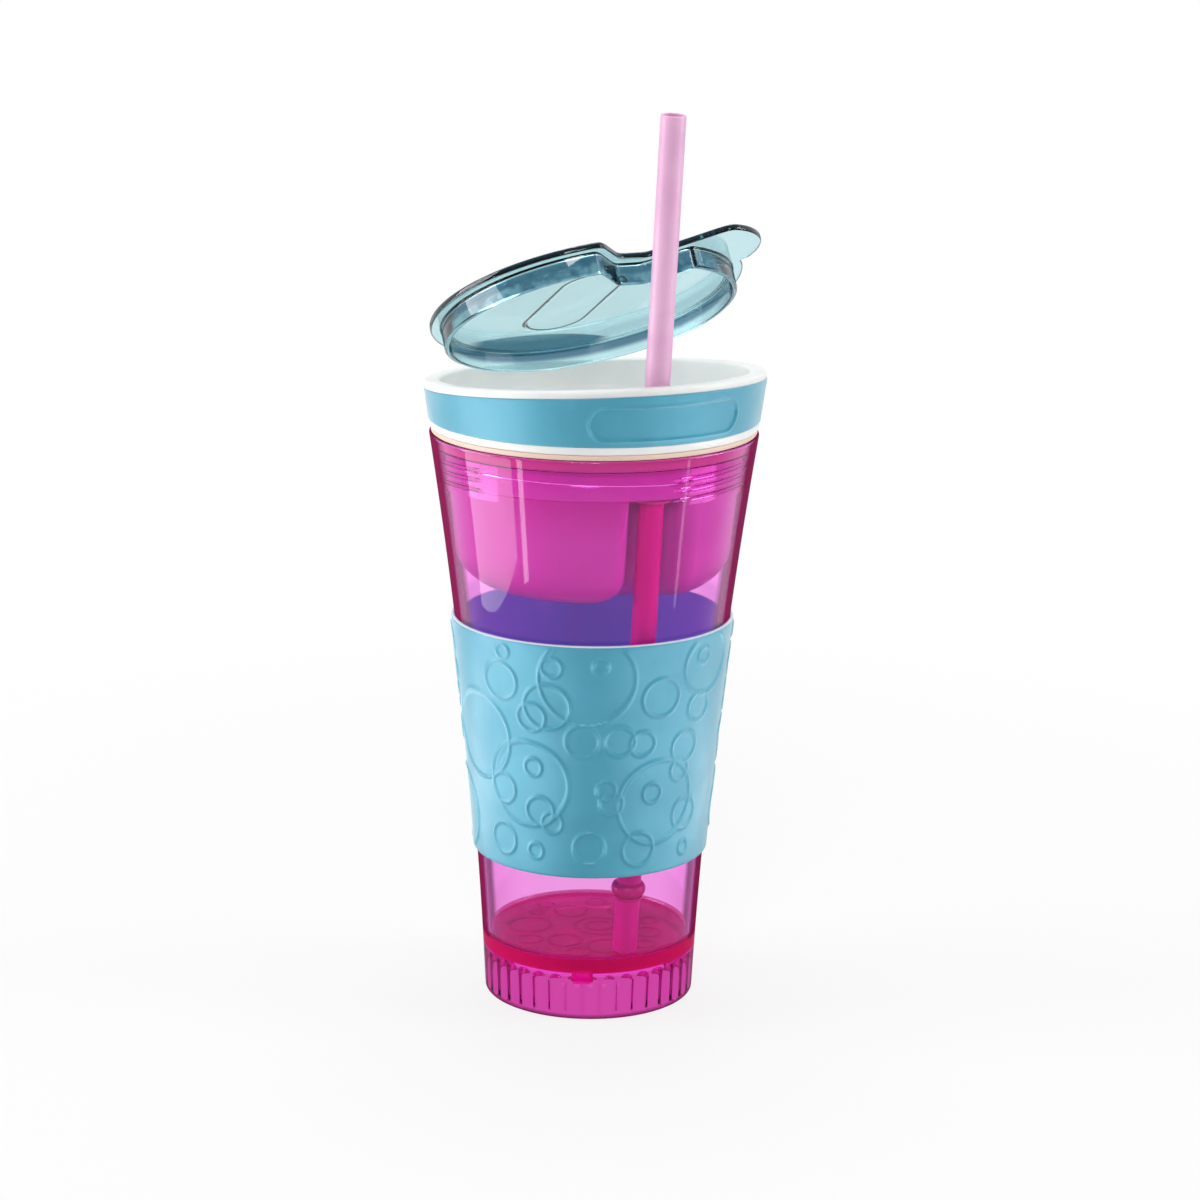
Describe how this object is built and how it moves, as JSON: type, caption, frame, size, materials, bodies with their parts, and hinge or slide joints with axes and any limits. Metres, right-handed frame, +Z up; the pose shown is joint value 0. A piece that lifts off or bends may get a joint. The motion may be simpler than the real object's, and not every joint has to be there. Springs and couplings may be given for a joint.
{
  "type": "snack and drink tumbler",
  "caption": "Child's tumbler with a clear cup, a grip sleeve, a snack tray screwed into its mouth, a straw through the tray and a notched press-on lid.",
  "frame": {"origin": "centre of the cup's base, on the surface that it stands on", "axes": "+Z up along the cup's axis; -Y to the front, where the straw and the high side of the sloping rim are; +X to the right as seen from the front"},
  "size_m": [0.1008, 0.1014, 0.2695],
  "materials": {
    "clear_pink": "clear, polished",
    "teal_rubber": "matte",
    "cream_rubber": "matte",
    "white_plastic": "satin",
    "pink_plastic": "translucent, satin",
    "magenta_plastic": "satin",
    "clear_teal": "clear, polished"
  },
  "bodies": {
    "cup": {"cup_body": "clear_pink", "grip_sleeve": "teal_rubber"},
    "seal": {"cup_seal": "cream_rubber"},
    "tray": {"snack_tray": "white_plastic", "rim_band": "teal_rubber", "straw_seal": "cream_rubber"},
    "straw": {"straw_tube": "pink_plastic", "straw_stop": "magenta_plastic"},
    "lid": {"snack_lid": "clear_teal"}
  },
  "joints": [
    {"name": "tray_lift", "type": "slide", "parent": "cup", "child": "seal", "axis": [0, 0, 1], "range_m": [0, 0.009]},
    {"name": "tray_turn", "type": "hinge", "parent": "seal", "child": "tray", "pos_m": [0, 0, 0.1729], "axis": [0, 0, 1], "range_deg": [0, 355]},
    {"name": "lid_swing", "type": "hinge", "parent": "tray", "child": "lid", "pos_m": [0, 0.05017, 0.18722], "axis": [-1, 0, 0], "range_deg": [-24.1, 65]},
    {"name": "straw_slide", "type": "slide", "parent": "tray", "child": "straw", "axis": [0, -0.0931, 0.9957], "range_m": [0, 0.118]}
  ],
  "couplings": [
    {"joint": "tray_lift", "follows": "tray_turn", "m_per_rad": 0.0014324}
  ]
}
